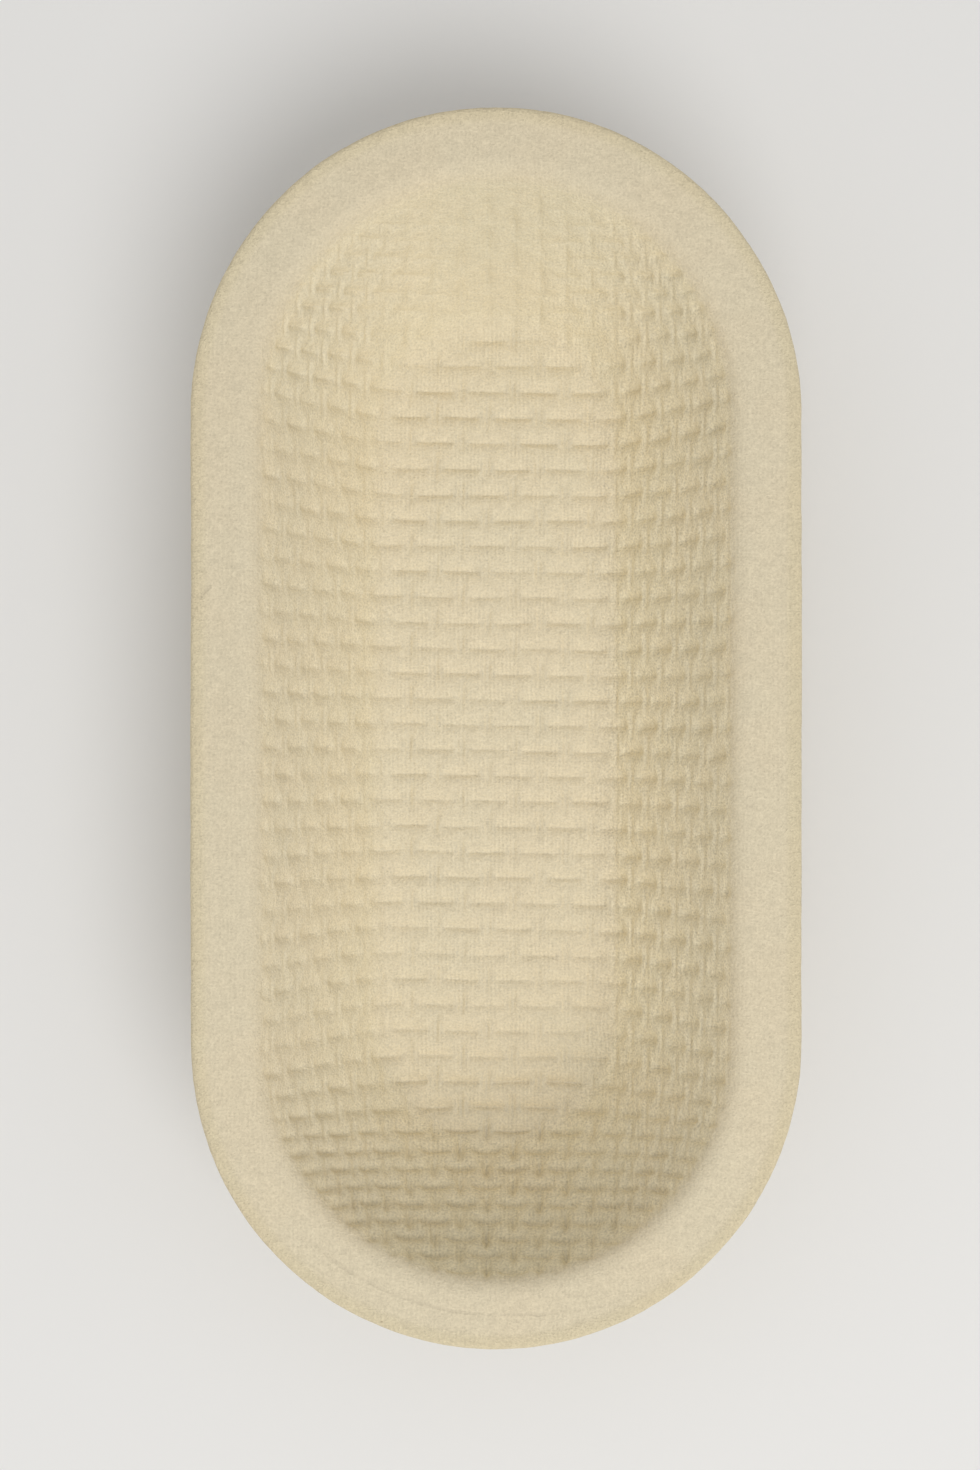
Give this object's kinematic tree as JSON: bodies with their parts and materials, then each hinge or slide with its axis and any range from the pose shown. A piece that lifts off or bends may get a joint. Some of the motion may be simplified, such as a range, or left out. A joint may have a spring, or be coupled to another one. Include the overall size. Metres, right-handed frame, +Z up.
{
  "type": "proofing basket",
  "caption": "Long stadium-shaped proofing basket moulded in one piece from wood pulp, with a flat rim, sloping walls, a flat floor and a woven imprint in the bowl.",
  "frame": {"origin": "middle of the base underside, on the surface that the basket stands on", "axes": "+Z up, +Y along the length, +X along the width"},
  "size_m": [0.148, 0.3, 0.057],
  "materials": {
    "wood_pulp": "dry matt moulded wood pulp"
  },
  "bodies": {
    "root": {"pulp_shell": "wood_pulp"}
  },
  "joints": []
}
